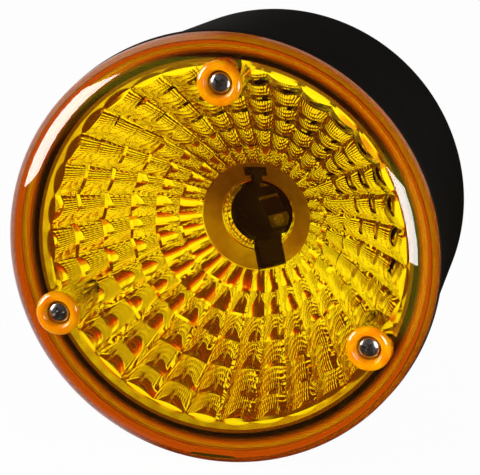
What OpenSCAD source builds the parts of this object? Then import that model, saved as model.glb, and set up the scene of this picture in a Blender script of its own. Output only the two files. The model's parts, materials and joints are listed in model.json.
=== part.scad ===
// Round amber warning lamp: a clear lens cap screwed to a deep black housing,
// with a faceted reflector and a bayonet bulb holder inside.
// The lens faces -Y and +Z is up. The origin is the centre of the back mounting face.
// Inside the modules a part is drawn as seen from the front: x right, y up,
// z forward from the back face.

/* [Lens] */
// Outer diameter of the lens
lens_d = 140; // [126:1:170]
// Front face above the seat plane
lens_h = 11.2; // [9.5:0.1:16]
// Thickness of the front face
lens_wall = 3; // [2.2:0.1:3.6]
// Straight height of the lens side
lens_skirt = 2.9; // [1.5:0.1:5]
// Radial width of the rounded front edge
lens_round = 11.9; // [9:0.1:13]
// Thickness of the lens side
lens_side_wall = 3.3; // [2.6:0.1:3.6]
// Radius of a raised screw ring
boss_r = 7.3; // [6.8:0.1:8]
// Height of a screw ring above the front face
boss_proud = 1.6; // [0.8:0.1:2.2]
// Radius of the pad behind a screw ring
lens_pad_r = 4.9; // [4.3:0.1:5.5]

/* [Housing] */
// Back face to the seat plane of the lens
body_depth = 80; // [70:1:110]
// Draft of the side wall, in degrees
draft = 3.9; // [1:0.1:4.5]
// Thickness of the side wall
wall = 2.8; // [2:0.1:3.4]
// Thickness of the back plate
back_t = 3; // [2.6:0.1:4]
// Radius of the rounded back edge
back_round = 2; // [0.5:0.1:2.4]
// Step from the lens edge in to the housing rim
rim_step = 0.8; // [0.3:0.1:2]
// Thickness of the rim outside the gasket groove
rim_wall = 1; // [0.9:0.1:1.6]
// Width of the bead round the housing rim
bead_w = 1.1; // [0.5:0.1:1.6]
// Height of the bead round the housing rim
bead_h = 2.4; // [1.5:0.1:4]
// Shadow gap between the rim and the lens
rim_gap = 0.4; // [0.2:0.1:1]
// Thickness of the lip inside the gasket groove
lip_t = 1.2; // [0.9:0.1:2]
// Depth of the thick band behind the lip
land_h = 9; // [7:0.5:12]
// Radius of a screw pillar
pillar_r = 4.6; // [4:0.1:4.8]
// Thickness of the rib from a pillar to the wall
rib_t = 2; // [1.4:0.1:3]

/* [Gasket] */
// Width of the gasket groove
groove_w = 5.3; // [4.6:0.1:5.6]
// Height of the gasket
gasket_h = 2.6; // [2:0.1:3.4]

/* [Lens screws] */
// Lens edge to the axis of a screw
screw_inset = 14; // [13.4:0.1:16]
// Angle between the top screw and each lower screw
screw_angle = 115; // [105:1:125]
// Diameter of a screw head
screw_head_d = 7; // [6:0.1:7.2]
// Height of a screw head
screw_head_h = 2.4; // [2:0.1:2.8]
// Shank diameter
screw_d = 3.2; // [2.6:0.1:3.4]
// Length under the head
screw_l = 25; // [18:1:32]
// Thickness of the seal under a head
seal_t = 0.8; // [0.5:0.1:1]
// Height of the seal's seat below the lens front face
seat_drop = 2.6; // [2.2:0.1:3.2]

/* [Reflector] */
// Wall thickness of the reflector
reflector_t = 1.2; // [1:0.1:1.6]
// Facets in one turn
sectors = 32; // [24:1:40]
// Radial pitch of the facet rows
facet_pitch = 6.9; // [5:0.1:9]
// Plain band outside the facets
plain_band = 3.4; // [2.4:0.1:5]
// Radius of a tower around a screw pillar
tower_r = 6.5; // [6.4:0.1:7]
// Plain ring between the throat and the facets
plain_ring = 7.2; // [6.5:0.1:9]
// Height of the neck behind the bowl's vertex
neck_h = 4.5; // [4:0.1:7]
// Flare of the throat at its front
throat_flare = 1.5; // [0.8:0.1:2]
// Width of the upper notch at its outer end
notch_top_w = 7.7; // [7:0.1:9]
// Width of the upper notch at the throat
notch_slot_w = 4; // [3:0.1:5]
// Depth of the upper notch from the throat
notch_top_l = 6.6; // [5.5:0.1:7]
// Width of the lower notch
notch_low_w = 10; // [8:0.1:11]
// Depth of the lower notch from the throat
notch_low_l = 7.9; // [6.5:0.1:8.4]

/* [Bulb holder] */
// Bore for the bulb's cap
cap_bore_d = 20.2; // [19:0.1:22]
// Back face of the lamp to the reflector's neck
neck_z = 27; // [26:0.5:32]
// Angle that the holder is turned from upright
holder_turn = 20; // [0:1:30]
// Wall of the holder's cup
cup_wall = 3.4; // [3:0.1:4]
// Thickness of the holder's flange
flange_t = 3; // [2.4:0.1:4]
// Width of the flange outside the cup
flange_w = 7; // [6.8:0.1:8]
// Back face of the lamp to the back of the cup
cup_z = 10; // [9.4:0.1:11]
// Thickness of the cup's floor
floor_t = 2.5; // [2:0.1:3]
// Height of the keys above the flange
key_h = 3.5; // [2:0.1:4]
// Width of a slot for a bulb pin
pin_slot_w = 2.8; // [2.4:0.1:3.2]
// Depth of a pin slot in the cup's wall
pin_slot_d = 1.9; // [1.4:0.1:2.2]
// Height of the contact chamber above the cup's floor
chamber_h = 6; // [5.6:0.1:7]
// Step from the cap bore out to the chamber's wall
chamber_step = 0.5; // [0.2:0.1:0.8]
// Sideways run of a pin slot
pin_slot_turn = 4; // [3:0.1:5]

/* [Contacts] */
// Thickness of the brass strips
strip_t = 0.4; // [0.3:0.05:0.6]
// Width of the contact leaf
leaf_w = 7; // [5:0.1:8]
// Length of the contact leaf
leaf_l = 8.6; // [7:0.1:9]
// Slope of the leaf at rest, in degrees
leaf_slope = 30; // [24:1:32]
// Height of the fold along one edge of the leaf
leaf_fold = 1; // [0.6:0.1:1.4]
// Width of the side strip
earth_w = 6; // [4:0.1:7]
// Height of the side strip above the floor
earth_h = 9; // [6:0.1:11]
// Width of a push-on tab
tab_w = 6.3; // [4.8:0.1:6.3]
// Thickness of a push-on tab
tab_t = 0.8; // [0.5:0.1:1]
// Tab centre line to the holder's centre line
tab_y = 7.2; // [6.8:0.1:7.4]
// Shank diameter of a rivet
rivet_d = 2.4; // [2:0.1:2.6]
// Head diameter of a rivet
rivet_head_d = 3.8; // [3.4:0.1:4]
// Head height of a rivet
rivet_head_h = 0.6; // [0.4:0.1:0.8]
// Head diameter of a holder screw
holder_screw_head_d = 5.6; // [5:0.1:6]
// Shank diameter of a holder screw
holder_screw_d = 2.6; // [2.2:0.1:2.9]
// Length of a holder screw under its head
holder_screw_l = 8.5; // [7:0.1:9]

/* [Terminal block] */
// Holder axis to the near face of the block
block_x = 40; // [38:0.5:42]
// Depth of the block
block_l = 13; // [12:0.5:14]
// Width of the block
block_w = 24; // [22:0.5:26]
// Height of the block
block_h = 11; // [10:0.5:14]
// Height of the pad under the block
pad_h = 2; // [1.6:0.1:2.6]
// Outer diameter of a clamp sleeve
sleeve_d = 4.3; // [4:0.1:4.6]
// Length of a clamp sleeve
sleeve_l = 11; // [9:0.5:11.5]
// Shank diameter of a clamp screw
clamp_d = 2.4; // [2:0.1:2.6]
// Diameter of a lead over its insulation
wire_d = 2.4; // [2:0.1:2.6]
// Length of a receptacle's box
box_l = 10; // [8:0.5:10.5]
// Wall of a receptacle's box
box_wall = 0.5; // [0.4:0.1:0.8]
// Length of a receptacle's crimp barrel
barrel_l = 4; // [3:0.1:5]

/* [Mounting] */
// Radius of the circle of the threaded inserts
insert_circle_r = 42; // [36:0.5:46]
// Thread diameter of an insert
insert_thread_d = 5; // [4:0.5:6]
// Length of an insert
insert_l = 9.5; // [7:0.5:12]
// Wall of an insert
insert_wall = 1; // [0.8:0.1:1.4]
// Wall of the boss around an insert
insert_boss_wall = 2; // [1.4:0.1:3]
// Diameter of the supply cable
cable_d = 6.8; // [5:0.1:8]
// Distance of the cable inlet from the axis
inlet_r = 34; // [31:0.5:36]
// Direction of the cable inlet, in degrees
inlet_angle = -25; // [-32:1:-20]

/* [Hidden] */
$fn = 96;

// Small clearances: between seated pieces, around loose pieces, and past a cut face
seat_gap = 0.05;
loose = 0.3;
past = 1;

// Rim chain, from the lens edge inwards
lens_r = lens_d / 2;
housing_r = lens_r - rim_step;
groove_out = housing_r - rim_wall;
groove_in = groove_out - groove_w;
lip_in = groove_in - lip_t;
rim_r = lip_in - loose - reflector_t;

// Heights along the axis
seat_z = body_depth;
front_z = seat_z + lens_h;
inner_z = front_z - lens_wall;
housing_rim_z = seat_z - rim_gap;
bead_z = housing_rim_z - bead_h;
gasket_z = seat_z - seat_gap;
groove_z = gasket_z - gasket_h - seat_gap;
lip_drop = 0.7;
lip_z = housing_rim_z - lip_drop;
reflector_rim_z = seat_z - lip_drop;
vertex_z = neck_z + neck_h;
lens_pad_h = 1;
tower_z = inner_z - lens_pad_h;
tower_cap = 1.6;
pillar_z = tower_z - tower_cap - seat_gap;
head_seat_z = front_z - seat_drop;
head_z = head_seat_z + seal_t + seat_gap;

// Back of the housing
back_r = housing_r - body_depth * tan(draft);
function outer_wall_r(z) = back_r + z * tan(draft);
function inner_wall_r(z) = outer_wall_r(z) - wall;

// Lens screws
screw_r = lens_r - screw_inset;
SCREW_ANGLES = [90, 90 + screw_angle, 90 - screw_angle];
screw_pilot_gap = 0.05;
screw_hole_r = screw_d / 2 + loose;
recess_w = 0.9;
// Share of a head's width and height that its cross recess takes
recess_share = 0.6;
// Each head stands this much further round than the one before
screw_turn_step = 20;

// Bulb holder
bore_r = cap_bore_d / 2;
cup_r = bore_r + cup_wall;
flange_r = cup_r + flange_w;
neck_r = flange_r + loose;
flange_z = neck_z - seat_gap - flange_t;
cup_floor_z = cup_z + floor_t;
chamber_z = cup_floor_z + chamber_h;
holder_screw_r = cup_r + flange_w / 2;
holder_head_h = 1.8;
key_gap = 0.25;
NOTCH_TOP_ANGLE = 75;
NOTCH_LOW_ANGLE = 270;
leaf_pivot_z = cup_floor_z + strip_t;
leaf_pivot_y = tab_y - rivet_head_d / 2 - past / 2;
earth_slot_gap = 0.2;
earth_y = bore_r + earth_slot_gap;
tab_z = cup_z - seat_gap - tab_t;
lead_z = tab_z + tab_t / 2;

// Facet rows of the reflector
facet_in = bore_r + throat_flare + plain_ring;
facet_out = rim_r - plain_band;
facet_rows = ceil((facet_out - facet_in) / facet_pitch);
function row_r(i) = min(facet_in + i * facet_pitch, facet_out);
function bowl_z(r) = vertex_z + (reflector_rim_z - vertex_z) * pow(r / rim_r, 2);
function bowl_slope(r) = 2 * (reflector_rim_z - vertex_z) * r / pow(rim_r, 2);
// A point of the bowl's back, one wall behind the front at radius r
function bowl_back(r) =
    let (s = bowl_slope(r), n = sqrt(1 + s * s))
    [r + reflector_t * s / n, bowl_z(r) - reflector_t / n];

// Terminal block and leads
block_z = back_t + pad_h + seat_gap;
lead_r = wire_d / 2;
sleeve_bore_r = lead_r + seat_gap;
box_x = cup_r + loose;
tab_l = box_x + box_l - 2 * past;
barrel_r = lead_r + 2 * seat_gap + box_wall;
lead_start = box_x + box_l + past;
lead_grip = 5;
hump_h = 4.4;
CLAMP_X = [block_x + block_l / 4, block_x + block_l * 3 / 4];

// Mounting
insert_r = insert_thread_d / 2 + insert_wall;
insert_boss_r = insert_r + insert_boss_wall;
INSERT_ANGLES = [60, 180, 300];
grommet_flange = 2.4;
grommet_wall = 4.6;
grommet_recess = 1.2;

// Turns the drawing frame into the lamp's frame
module lamp_frame() {
    rotate([90, 0, 0]) children();
}

// Puts a shape at a radius and an angle about the lamp's axis
module at_polar(r, angle) {
    rotate([0, 0, angle]) translate([r, 0, 0]) children();
}

// Frame of the bulb holder
module holder_frame() {
    lamp_frame() rotate([0, 0, holder_turn]) children();
}

// Straight round bar from one height to another
module bar(r, z0, z1) {
    translate([0, 0, z0]) cylinder(r = r, h = z1 - z0);
}

// Box from a low corner to a high corner
module block_between(low, high) {
    translate(low) cube(high - low);
}

module housing() {
    arc_steps = 6;
    back_arc = [for (i = [0:arc_steps])
        let (a = -90 + 90 * i / arc_steps)
        [back_r - back_round + back_round * cos(a), back_round + back_round * sin(a)]];
    land_z = groove_z - land_h;
    shell = concat([[0, 0]], back_arc, [
        [outer_wall_r(bead_z - bead_w), bead_z - bead_w],
        [housing_r + bead_w, bead_z],
        [housing_r + bead_w, housing_rim_z],
        [groove_out, housing_rim_z],
        [groove_out, groove_z],
        [groove_in, groove_z],
        [groove_in, lip_z],
        [lip_in, lip_z],
        [lip_in, groove_z - wall],
        [inner_wall_r(land_z), land_z],
        [inner_wall_r(back_t), back_t],
        [0, back_t]]);
    rib_top = land_z - past;
    function rib_reach(z) = inner_wall_r(z) + wall / 2 - screw_r;
    rib = [[0, past], [rib_reach(past), past], [rib_reach(rib_top), rib_top], [0, rib_top]];
    color("#16130f") lamp_frame() difference() {
        union() {
            rotate_extrude() polygon(shell);
            for (a = SCREW_ANGLES) at_polar(screw_r, a) {
                bar(pillar_r, past, pillar_z);
                translate([0, rib_t / 2, 0]) rotate([90, 0, 0]) linear_extrude(rib_t) polygon(rib);
            }
            for (a = INSERT_ANGLES) at_polar(insert_circle_r, a)
                bar(insert_boss_r, past, insert_l + insert_boss_wall);
            rotate([0, 0, holder_turn])
                block_between([block_x, -block_w / 2, past],
                    [block_x + block_l, block_w / 2, back_t + pad_h]);
        }
        for (a = SCREW_ANGLES) at_polar(screw_r, a)
            bar(screw_hole_r, head_z - screw_l - past, pillar_z + past);
        for (a = INSERT_ANGLES) at_polar(insert_circle_r, a)
            bar(insert_r + seat_gap, -past, insert_l + seat_gap);
        at_polar(inlet_r, inlet_angle) {
            bar(cable_d / 2 + grommet_wall, -past, back_t + past);
            bar(cable_d / 2 + grommet_wall + grommet_flange + seat_gap, -past, grommet_recess);
        }
        rotate([0, 0, holder_turn]) translate([block_x + block_l / 2, 0, 0])
            bar(holder_screw_d / 2 + screw_pilot_gap, back_t / 3, block_z);
    }
}

module mounting_inserts() {
    groove_d = 0.4;
    groove_half = 0.5;
    mid = insert_l / 2;
    color("#b58a3c") lamp_frame() for (a = INSERT_ANGLES) at_polar(insert_circle_r, a)
        rotate_extrude() polygon([
            [insert_thread_d / 2, 0],
            [insert_r, 0],
            [insert_r, mid - groove_half - groove_d],
            [insert_r - groove_d, mid - groove_half],
            [insert_r - groove_d, mid + groove_half],
            [insert_r, mid + groove_half + groove_d],
            [insert_r, insert_l],
            [insert_thread_d / 2, insert_l]]);
}

module cable_grommet() {
    bore = cable_d / 2;
    waist = bore + grommet_wall - seat_gap;
    flange = bore + grommet_wall + grommet_flange;
    color("#1b1b1b") lamp_frame() at_polar(inlet_r, inlet_angle) rotate_extrude() polygon([
        [bore, seat_gap],
        [flange, seat_gap],
        [flange, grommet_recess - seat_gap],
        [waist, grommet_recess - seat_gap],
        [waist, back_t + seat_gap],
        [flange, back_t + seat_gap],
        [flange, back_t + grommet_flange / 2],
        [waist, back_t + grommet_flange],
        [bore, back_t + grommet_flange]]);
}

module lens_gasket() {
    color("#cf8e55") lamp_frame() difference() {
        bar(groove_out - seat_gap, groove_z + seat_gap, gasket_z);
        bar(groove_in + seat_gap, groove_z, seat_z);
    }
}

// Solid filling the reflector from its back wall to the rim plane
module reflector_fill() {
    steps = 24;
    back = [for (i = [0:steps]) bowl_back(rim_r * i / steps)];
    rotate_extrude() polygon(concat(back, [
        [rim_r + reflector_t, reflector_rim_z],
        [0, reflector_rim_z]]));
}

// Hollow of the bowl: flat facets in rows and sectors, then a plain band out to the rim
module bowl_hollow() {
    lift = 0.5;
    radii = concat([for (i = [0:facet_rows]) row_r(i)], [facet_out]);
    heights = concat([for (i = [0:facet_rows]) bowl_z(row_r(i))], [bowl_z(facet_out) + lift]);
    top = len(radii) - 1;
    points = [for (i = [0:top]) for (j = [0:sectors - 1])
        [radii[i] * cos(360 * j / sectors), radii[i] * sin(360 * j / sectors), heights[i]]];
    sides = [for (i = [0:top - 1]) for (j = [0:sectors - 1])
        let (k = (j + 1) % sectors)
        [i * sectors + j, (i + 1) * sectors + j, (i + 1) * sectors + k, i * sectors + k]];
    floor_face = [for (j = [0:sectors - 1]) j];
    top_face = [for (j = [sectors - 1:-1:0]) top * sectors + j];
    polyhedron(points, concat(sides, [floor_face, top_face]));
    rotate_extrude() polygon([
        [0, bowl_z(facet_out)],
        [facet_out + loose, bowl_z(facet_out)],
        [rim_r, reflector_rim_z],
        [rim_r, reflector_rim_z + past],
        [0, reflector_rim_z + past]]);
}

// Plain dished ring and throat in the middle of the bowl
module throat_hollow() {
    mouth_r = bore_r + throat_flare;
    ring_out = facet_in * cos(180 / sectors) - seat_gap;
    neck_mid = vertex_z - neck_h / 2;
    rotate_extrude() polygon([
        [0, neck_z - past],
        [bore_r, neck_z - past],
        [bore_r, neck_mid],
        [mouth_r, bowl_z(mouth_r)],
        [ring_out, bowl_z(facet_in)],
        [ring_out, bowl_z(facet_in) + past],
        [0, bowl_z(facet_in) + past]]);
}

// Outlines of the two notches; clear makes them smaller on every side
module notch_top(clear) {
    half = notch_top_w / 2 - clear;
    slot = notch_slot_w / 2 - clear;
    outer = bore_r + notch_top_l - clear;
    step = bore_r + notch_top_l / 2 + clear;
    polygon([[0, -slot], [step, -slot], [step, -half], [outer, -half],
        [outer, half], [step, half], [step, slot], [0, slot]]);
}

module notch_low(clear) {
    half = notch_low_w / 2 - clear;
    outer = bore_r + notch_low_l - clear;
    polygon([[0, -half], [outer, -half], [outer, half], [0, half]]);
}

module reflector() {
    notch_depth = bowl_z(facet_in) + past - neck_z + past;
    color("#d8d8d8") lamp_frame() difference() {
        union() {
            difference() {
                union() {
                    reflector_fill();
                    bar(neck_r, neck_z, bowl_z(neck_r));
                }
                bowl_hollow();
            }
            intersection() {
                for (a = SCREW_ANGLES) at_polar(screw_r, a) bar(tower_r, neck_z, tower_z);
                union() {
                    reflector_fill();
                    bar(screw_r + tower_r + past, reflector_rim_z - seat_gap, tower_z + past);
                }
            }
        }
        throat_hollow();
        for (a = SCREW_ANGLES) at_polar(screw_r, a) {
            bar(pillar_r + loose, neck_z, tower_z - tower_cap);
            bar(screw_hole_r, neck_z, tower_z + past);
        }
        translate([0, 0, neck_z - past]) rotate([0, 0, holder_turn]) {
            rotate([0, 0, NOTCH_TOP_ANGLE]) linear_extrude(notch_depth) notch_top(0);
            rotate([0, 0, NOTCH_LOW_ANGLE]) linear_extrude(notch_depth) notch_low(0);
            for (side = [-1, 1]) translate([side * holder_screw_r, 0, 0])
                bar(holder_screw_d / 2 + screw_pilot_gap, 0, holder_screw_l - flange_t + 2 * past);
        }
    }
}

module bulb_holder() {
    slot_bottom = chamber_z - pin_slot_w;
    slot_r = bore_r + pin_slot_d;
    turn = pin_slot_turn / slot_r * 180 / PI;
    earth_slot_w = earth_w + 2 * earth_slot_gap;
    color("#1a1715") holder_frame() difference() {
        union() {
            bar(cup_r, cup_z, neck_z - seat_gap);
            bar(flange_r, flange_z, neck_z - seat_gap);
            translate([0, 0, flange_z]) {
                rotate([0, 0, NOTCH_TOP_ANGLE]) linear_extrude(flange_t + key_h) notch_top(key_gap);
                rotate([0, 0, NOTCH_LOW_ANGLE]) linear_extrude(flange_t + key_h) notch_low(key_gap);
            }
        }
        bar(bore_r, cup_floor_z, neck_z + key_h + past);
        bar(bore_r + chamber_step, cup_floor_z, chamber_z);
        // Pin slots: down the wall, then a short way round
        for (side = [0, 180]) rotate([0, 0, side]) {
            translate([0, -pin_slot_w / 2, slot_bottom])
                cube([slot_r, pin_slot_w, neck_z - slot_bottom]);
            translate([0, 0, slot_bottom]) rotate_extrude(angle = turn) square([slot_r, pin_slot_w]);
        }
        // Recess for the side strip
        translate([-earth_slot_w / 2, 0, cup_floor_z])
            cube([earth_slot_w, earth_y + strip_t + earth_slot_gap, earth_h + past]);
        for (side = [-1, 1]) {
            translate([0, side * tab_y, 0])
                bar(rivet_d / 2 + seat_gap, cup_z - past, cup_floor_z + past);
            translate([side * holder_screw_r, 0, 0])
                bar(holder_screw_d / 2 + screw_pilot_gap, flange_z - past, neck_z + past);
        }
    }
}

// Pan head with a cross recess, its underside on z = 0 and its shank below
module cross_screw(head_d, head_h, shank_d, length) {
    arc_steps = 5;
    edge_h = head_h / 3;
    flat_r = head_d / 4;
    slot_l = head_d * recess_share;
    slot_d = head_h * recess_share;
    crown = [for (i = [0:arc_steps])
        let (a = 90 * i / arc_steps)
        [flat_r + (head_d / 2 - flat_r) * cos(a), edge_h + (head_h - edge_h) * sin(a)]];
    difference() {
        rotate_extrude() polygon(concat([
            [0, -length],
            [shank_d / 4, -length],
            [shank_d / 2, -length + shank_d / 2],
            [shank_d / 2, 0],
            [head_d / 2, 0]], crown, [[0, head_h]]));
        for (a = [0, 90]) rotate([0, 0, a])
            translate([-slot_l / 2, -recess_w / 2, head_h - slot_d])
                cube([slot_l, recess_w, slot_d + past]);
    }
}

module holder_screws() {
    color("#b9b9b9") holder_frame() for (side = [-1, 1])
        translate([side * holder_screw_r, 0, flange_z - seat_gap]) mirror([0, 0, 1])
            cross_screw(holder_screw_head_d, holder_head_h, holder_screw_d, holder_screw_l);
}

module leaf_root() {
    color("#c79a3e") holder_frame() difference() {
        intersection() {
            block_between([-leaf_w / 2, -bore_r, cup_floor_z + seat_gap],
                [leaf_w / 2, -leaf_pivot_y - loose, cup_floor_z + seat_gap + strip_t]);
            bar(bore_r - loose, cup_floor_z, neck_z);
        }
        translate([0, -tab_y, 0]) bar(rivet_d / 2 + seat_gap, cup_floor_z - past, neck_z);
    }
}

module live_contact() {
    bend_l = leaf_l / 10;
    flat_l = leaf_l - bend_l;
    fold_start = flat_l / 4;
    profile = [[0, 0], [flat_l, 0], [leaf_l, -bend_l / 2],
        [leaf_l, strip_t - bend_l / 2], [flat_l, strip_t], [0, strip_t]];
    color("#c79a3e") holder_frame() translate([0, -leaf_pivot_y, leaf_pivot_z])
        rotate([leaf_slope, 0, 0]) {
            translate([-leaf_w / 2, 0, 0]) rotate([90, 0, 90]) linear_extrude(leaf_w) polygon(profile);
            translate([leaf_w / 2 - strip_t, fold_start, 0])
                cube([strip_t, flat_l - fold_start, leaf_fold]);
        }
}

module earth_contact() {
    foot_in = tab_y - rivet_head_d / 2;
    color("#c79a3e") holder_frame() difference() {
        union() {
            block_between([-earth_w / 2, foot_in, cup_floor_z + seat_gap],
                [earth_w / 2, earth_y + strip_t, cup_floor_z + seat_gap + strip_t]);
            block_between([-earth_w / 2, earth_y, cup_floor_z + seat_gap],
                [earth_w / 2, earth_y + strip_t, cup_floor_z + earth_h]);
        }
        translate([0, tab_y, 0]) bar(rivet_d / 2 + seat_gap, cup_floor_z - past, neck_z);
    }
}

// Flat push-on tab under the holder's floor, on one side of its centre line
module push_on_tab(side) {
    color("#c9b26a") holder_frame() difference() {
        block_between([-tab_w / 2, side * tab_y - tab_w / 2, tab_z],
            [tab_l, side * tab_y + tab_w / 2, tab_z + tab_t]);
        translate([0, side * tab_y, 0]) bar(rivet_d / 2 + seat_gap, tab_z - past, tab_z + tab_t + past);
    }
}

module live_terminal() {
    push_on_tab(-1);
}

module earth_terminal() {
    push_on_tab(1);
}

module terminal_rivets() {
    low = tab_z - seat_gap;
    high = cup_floor_z + seat_gap + strip_t + seat_gap;
    color("#d2c08a") holder_frame() for (side = [-1, 1]) translate([0, side * tab_y, 0]) {
        bar(rivet_d / 2, low - rivet_head_h, high + rivet_head_h);
        bar(rivet_head_d / 2, low - rivet_head_h, low);
        bar(rivet_head_d / 2, high, high + rivet_head_h);
    }
}

module wire_receptacles() {
    box_h = tab_t + 2 * (seat_gap + box_wall);
    box_w = tab_w + 2 * (seat_gap + box_wall);
    color("#cfcfcf") holder_frame() for (side = [-1, 1])
        translate([box_x, side * tab_y, lead_z]) difference() {
            union() {
                translate([0, -box_w / 2, -box_h / 2]) cube([box_l, box_w, box_h]);
                rotate([0, 90, 0]) bar(barrel_r, box_l - past, box_l + barrel_l);
            }
            translate([-past, -tab_w / 2 - seat_gap, -tab_t / 2 - seat_gap])
                cube([box_l, tab_w + 2 * seat_gap, tab_t + 2 * seat_gap]);
            rotate([0, 90, 0]) bar(lead_r + seat_gap, box_l + past - seat_gap, box_l + barrel_l + past);
        }
}

// Closed tube round a path in the plane of x and z, square to the path at every point
module lead_tube(path, slopes) {
    sides = 10;
    last = len(path) - 1;
    points = [for (i = [0:last]) for (j = [0:sides - 1])
        let (a = 360 * j / sides, n = sqrt(1 + slopes[i] * slopes[i]), up = lead_r * sin(a) / n)
        [path[i][0] - up * slopes[i], lead_r * cos(a), path[i][1] + up]];
    walls = [for (i = [0:last - 1]) for (j = [0:sides - 1])
        let (k = (j + 1) % sides)
        each [[i * sides + j, i * sides + k, (i + 1) * sides + k],
            [i * sides + j, (i + 1) * sides + k, (i + 1) * sides + j]]];
    start_face = [for (j = [sides - 1:-1:0]) j];
    end_face = [for (j = [0:sides - 1]) last * sides + j];
    polyhedron(points, concat(walls, [start_face, end_face]));
}

// Short lead from a receptacle to the block, with a wave-shaped hump that leaves some slack
module inner_lead(side, shade) {
    steps = 16;
    hump_x = box_x + box_l + barrel_l;
    span = block_x - hump_x;
    wave = [for (i = [0:steps])
        [hump_x + span * i / steps, hump_h * (1 - cos(360 * i / steps)) / 2]];
    wave_slopes = [for (i = [0:steps]) hump_h * PI / span * sin(360 * i / steps)];
    path = concat([[lead_start, 0]], wave, [[block_x + lead_grip, 0]]);
    slopes = concat([0], wave_slopes, [0]);
    color(shade) holder_frame() translate([0, side * tab_y, lead_z]) lead_tube(path, slopes);
}

module live_wire() {
    inner_lead(-1, "#7a2a22");
}

module earth_wire() {
    inner_lead(1, "#20242a");
}

module terminal_block() {
    screw_x = block_x + block_l / 2;
    head_floor = block_z + block_h / 2;
    color("#e6e2d6") holder_frame() difference() {
        block_between([block_x, -block_w / 2, block_z],
            [block_x + block_l, block_w / 2, block_z + block_h]);
        for (side = [-1, 1]) translate([0, side * tab_y, lead_z]) {
            rotate([0, 90, 0]) bar(sleeve_d / 2 + seat_gap, block_x - past, block_x + block_l + past);
            for (x = CLAMP_X) translate([x, 0, 0]) bar(clamp_d / 2 + loose, 0, block_z + block_h);
        }
        translate([screw_x, 0, 0]) {
            bar(holder_screw_d / 2 + screw_pilot_gap, block_z - past, block_z + block_h + past);
            bar(holder_screw_head_d / 2 + loose, head_floor, block_z + block_h + past);
        }
    }
}

module clamp_sleeves() {
    start = block_x + (block_l - sleeve_l) / 2;
    color("#c9a24a") holder_frame() for (side = [-1, 1])
        translate([0, side * tab_y, lead_z]) difference() {
            rotate([0, 90, 0]) bar(sleeve_d / 2, start, start + sleeve_l);
            rotate([0, 90, 0]) bar(sleeve_bore_r, start - past, start + sleeve_l + past);
            for (x = CLAMP_X) translate([x, 0, 0]) bar(clamp_d / 2 + seat_gap, 0, sleeve_d);
        }
}

module clamp_screws() {
    slot_w = recess_w / 2;
    top = block_z + block_h - past;
    color("#b9b9b9") holder_frame() for (side = [-1, 1]) for (x = CLAMP_X)
        translate([x, side * tab_y, 0]) difference() {
            bar(clamp_d / 2, lead_z + lead_r + seat_gap, top);
            translate([-clamp_d, -slot_w / 2, top - past]) cube([2 * clamp_d, slot_w, 2 * past]);
        }
}

module block_screw() {
    head_floor = block_z + block_h / 2;
    color("#b9b9b9") holder_frame() translate([block_x + block_l / 2, 0, head_floor + seat_gap])
        cross_screw(holder_screw_head_d, holder_head_h, holder_screw_d, head_floor - back_t / 2);
}

module lens() {
    arc_steps = 12;
    edge_z = seat_z + lens_skirt;
    // Quarter ellipse of the edge: the outer one, and the same less the wall
    function edge(a, side, front) =
        [lens_r - lens_round + (lens_round - side) * cos(a), edge_z + (front - edge_z) * sin(a)];
    outer_arc = [for (i = [0:arc_steps]) edge(90 * i / arc_steps, 0, front_z)];
    inner_arc = [for (i = [0:arc_steps]) edge(90 - 90 * i / arc_steps, lens_side_wall, inner_z)];
    cap = concat([[0, inner_z]], inner_arc, [
        [lens_r - lens_side_wall, seat_z],
        [lens_r, seat_z]], outer_arc, [[0, front_z]]);
    ring_top = front_z + boss_proud;
    ring_steps = 6;
    crest_r = boss_r * 0.7;
    dish_h = boss_proud + screw_head_h / 2;
    ring_arc = [for (i = [0:ring_steps])
        let (a = 90 * i / ring_steps)
        [crest_r + (boss_r - crest_r) * cos(a), front_z + boss_proud * sin(a)]];
    sink_r = screw_head_d / 2 + loose;
    color("#f2a100", 0.7) lamp_frame() difference() {
        union() {
            rotate_extrude() polygon(cap);
            for (a = SCREW_ANGLES) at_polar(screw_r, a) {
                bar(lens_pad_r, tower_z + seat_gap, front_z);
                rotate_extrude()
                    polygon(concat([[0, inner_z], [boss_r, inner_z]], ring_arc, [[0, ring_top]]));
            }
        }
        for (a = SCREW_ANGLES) at_polar(screw_r, a) {
            bar(sink_r, head_seat_z, ring_top + past);
            translate([0, 0, ring_top - dish_h]) cylinder(r1 = sink_r, r2 = crest_r - loose, h = dish_h);
            bar(screw_hole_r, tower_z - past, ring_top);
        }
    }
}

module screw_seals() {
    color("#141414") lamp_frame() for (a = SCREW_ANGLES) at_polar(screw_r, a) difference() {
        bar(screw_head_d / 2 + loose / 2, head_seat_z + seat_gap / 2, head_z - seat_gap / 2);
        bar(screw_hole_r, head_seat_z - past, head_z + past);
    }
}

// One lens screw, chosen by its place in SCREW_ANGLES
module lens_screw(index) {
    color("#b8b8bc") lamp_frame() at_polar(screw_r, SCREW_ANGLES[index]) translate([0, 0, head_z])
        rotate([0, 0, -SCREW_ANGLES[index] + screw_turn_step * index])
            cross_screw(screw_head_d, screw_head_h, screw_d, screw_l);
}

module lens_screw_top() {
    lens_screw(0);
}

module lens_screw_left() {
    lens_screw(1);
}

module lens_screw_right() {
    lens_screw(2);
}

housing();
mounting_inserts();
cable_grommet();
lens_gasket();
reflector();
bulb_holder();
holder_screws();
leaf_root();
live_contact();
earth_contact();
live_terminal();
earth_terminal();
terminal_rivets();
wire_receptacles();
live_wire();
earth_wire();
terminal_block();
clamp_sleeves();
clamp_screws();
block_screw();
lens();
screw_seals();
lens_screw_top();
lens_screw_left();
lens_screw_right();
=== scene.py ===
"""Round amber warning lamp: clear lens cap, faceted reflector, bulb holder and black housing.

Pieces are drawn in millimetres as seen from the front, x right, y up, z forward from the
back face, and are turned into the shared frame, in metres, as they become meshes.
"""
import json
import math

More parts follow.
